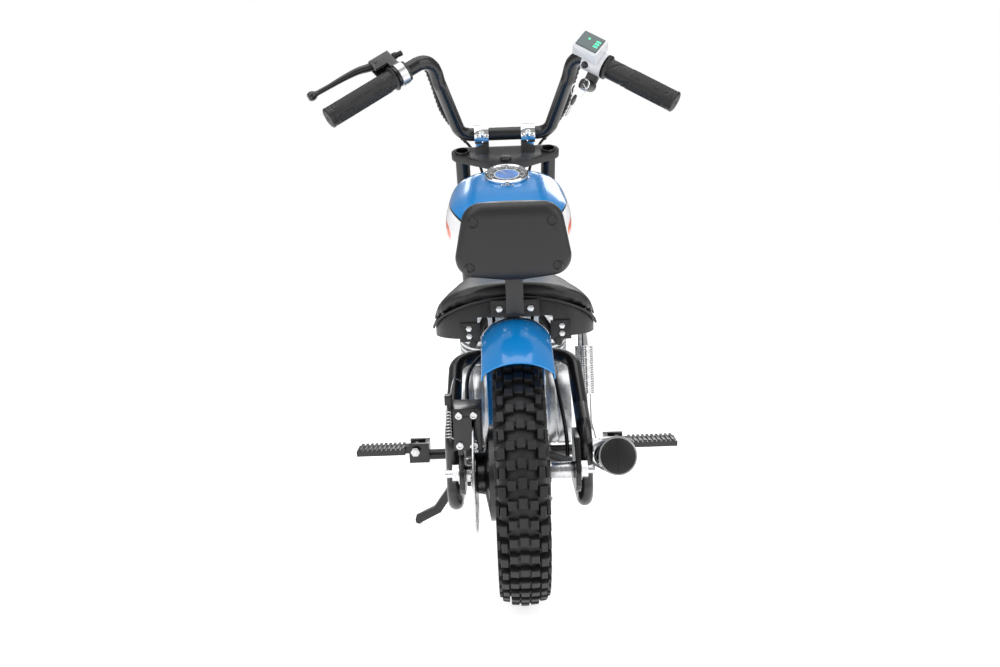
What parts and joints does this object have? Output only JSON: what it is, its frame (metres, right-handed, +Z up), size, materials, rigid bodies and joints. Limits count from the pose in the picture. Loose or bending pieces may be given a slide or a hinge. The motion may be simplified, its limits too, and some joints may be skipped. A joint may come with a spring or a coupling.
{
  "type": "children's electric mini motorcycle",
  "caption": "Small battery-electric chopper-style ride-on: high swept bar, raked sprung fork, hub motor wheel, saddle with backrest, side stand.",
  "frame": {"origin": "on the ground in the wheels' middle plane, halfway between the axles", "axes": "+X to the rider's right, +Y forwards, +Z up"},
  "size_m": [0.5686, 1.046, 0.7203],
  "materials": {
    "black_paint": "satin black powder coat on steel",
    "blue_paint": "high gloss blue",
    "vinyl": "black grained vinyl over foam",
    "black_plastic": "fine textured moulding",
    "battery_case": "shrink wrap",
    "alloy": "satin silver",
    "chrome": "polished",
    "steel": "zinc plated",
    "rim_black": "black coated casting",
    "motor": "wound laminations",
    "caliper_black": "black anodised",
    "tyre_rubber": "moulded knobby rubber",
    "grip_rubber": "ribbed soft rubber",
    "cable_black": "smooth jacket",
    "housing_silver": "silver white moulding"
  },
  "bodies": {
    "frame": {"head_tube": "black_paint", "headset_cups": "steel", "backbone": "black_paint", "down_tube": "black_paint", "lower_rails": "black_paint", "upper_stays": "black_paint", "lower_stays": "black_paint", "dropouts": "black_paint", "rear_axle": "steel", "rear_axle_nuts": "steel", "hub_stator": "motor", "fuel_tank": "blue_paint", "dial_base": "chrome", "rear_fender": "blue_paint", "seat_pan": "black_plastic", "seat_cushion": "vinyl", "seat_brackets": "black_paint", "backrest_bar": "black_paint", "backrest_shell": "black_plastic", "backrest_pad": "vinyl", "crankcase": "alloy", "cylinders": "alloy", "battery_pack": "battery_case", "controller": "alloy", "muffler": "chrome", "exhaust_pipe": "chrome", "caliper": "caliper_black", "frame_cables": "cable_black", "frame_bolts": "steel"},
    "steering": {"lower_clamp": "black_paint", "top_clamp": "black_paint", "stanchions": "black_paint", "handlebar": "black_paint", "riser_clamps": "chrome", "riser_bolts": "steel", "left_grip": "grip_rubber", "lever_perch": "black_paint", "throttle_housing": "housing_silver", "key_lock": "black_plastic", "bar_cables": "cable_black", "crossing_cables": "cable_black"},
    "fork_lower": {"fork_sliders": "black_paint", "fork_springs": "steel", "front_axle": "steel"},
    "front_wheel": {"front_rim": "rim_black", "front_tyre": "tyre_rubber"},
    "rear_wheel": {"rear_rim": "rim_black", "rear_tyre": "tyre_rubber", "brake_rotor": "steel"},
    "lever": {"brake_lever": "black_paint"},
    "arm": {"caliper_arm": "black_paint"},
    "pad": {"brake_pad": "caliper_black"},
    "twist_grip": {"throttle_grip": "grip_rubber"},
    "button": {"mode_button": "black_plastic"},
    "key": {"ignition_key": "black_plastic"},
    "ring": {"key_ring": "steel"},
    "stand": {"side_stand": "black_paint"},
    "peg_left": {"left_footpeg": "black_paint"},
    "peg_right": {"right_footpeg": "black_paint"},
    "lid": {"dial_lid": "chrome"}
  },
  "joints": [
    {"name": "steering_turn", "type": "hinge", "parent": "frame", "child": "steering", "pos_m": [0, 0.16274, 0.46185], "axis": [0, -0.4695, 0.8829], "range_deg": [-38, 38], "deforming": ["crossing_cables"]},
    {"name": "fork_travel", "type": "slide", "parent": "steering", "child": "fork_lower", "axis": [0, -0.4695, 0.8829], "range_m": [0, 0.035], "stiffness_N_per_m": 8000, "springref_m": -0.03, "deforming": ["fork_springs"]},
    {"name": "front_wheel_spin", "type": "hinge", "parent": "fork_lower", "child": "front_wheel", "pos_m": [0, 0.37, 0.153], "axis": [1, 0, 0], "continuous": true},
    {"name": "rear_wheel_spin", "type": "hinge", "parent": "frame", "child": "rear_wheel", "pos_m": [0, -0.37, 0.153], "axis": [1, 0, 0], "continuous": true},
    {"name": "throttle_twist", "type": "hinge", "parent": "steering", "child": "twist_grip", "pos_m": [0.19237, -0.01178, 0.64481], "axis": [0.7938, -0.3577, -0.4919], "range_deg": [0, 70], "stiffness_Nm_per_rad": 0.3, "springref_deg": -20.05},
    {"name": "brake_lever_pull", "type": "hinge", "parent": "steering", "child": "lever", "pos_m": [-0.198, 0.01248, 0.68098], "axis": [0.0265, -0.8283, 0.5596], "range_deg": [0, 13], "stiffness_Nm_per_rad": 1.5, "springref_deg": -11.46},
    {"name": "caliper_arm_pull", "type": "hinge", "parent": "frame", "child": "arm", "pos_m": [-0.077, -0.374, 0.212], "axis": [-1, 0, 0], "range_deg": [0, 20.8]},
    {"name": "brake_pad_press", "type": "slide", "parent": "frame", "child": "pad", "axis": [1, 0, 0], "range_m": [0, 0.0003]},
    {"name": "mode_button_press", "type": "slide", "parent": "steering", "child": "button", "axis": [0.5938, 0.6309, 0.4994], "range_m": [0, 0.002], "stiffness_N_per_m": 600, "springref_m": -0.001},
    {"name": "key_turn", "type": "hinge", "parent": "steering", "child": "key", "pos_m": [0.12351, -0.00706, 0.64003], "axis": [-0.4109, -0.9117, 0], "range_deg": [0, 90]},
    {"name": "key_ring_swing", "type": "hinge", "parent": "key", "child": "ring", "pos_m": [0.11775, -0.01982, 0.64003], "axis": [0.7938, -0.3577, -0.4919], "range_deg": [-25, 25]},
    {"name": "side_stand_fold", "type": "hinge", "parent": "frame", "child": "stand", "pos_m": [-0.088, -0.17, 0.072], "axis": [-0.8319, 0, 0.5549], "range_deg": [0, 90]},
    {"name": "left_footpeg_fold", "type": "hinge", "parent": "frame", "child": "peg_left", "pos_m": [-0.152, -0.12, 0.104], "axis": [0, 1, 0], "range_deg": [0, 80]},
    {"name": "right_footpeg_fold", "type": "hinge", "parent": "frame", "child": "peg_right", "pos_m": [0.152, -0.12, 0.104], "axis": [0, -1, 0], "range_deg": [0, 80]},
    {"name": "dial_lid_open", "type": "hinge", "parent": "frame", "child": "lid", "pos_m": [0, -0.01068, 0.49106], "axis": [1, 0, 0], "range_deg": [0, 90]}
  ],
  "couplings": [
    {"joint": "caliper_arm_pull", "follows": "brake_lever_pull", "ratio": 1.6},
    {"joint": "brake_pad_press", "follows": "brake_lever_pull", "m_per_rad": 0.0013222}
  ]
}
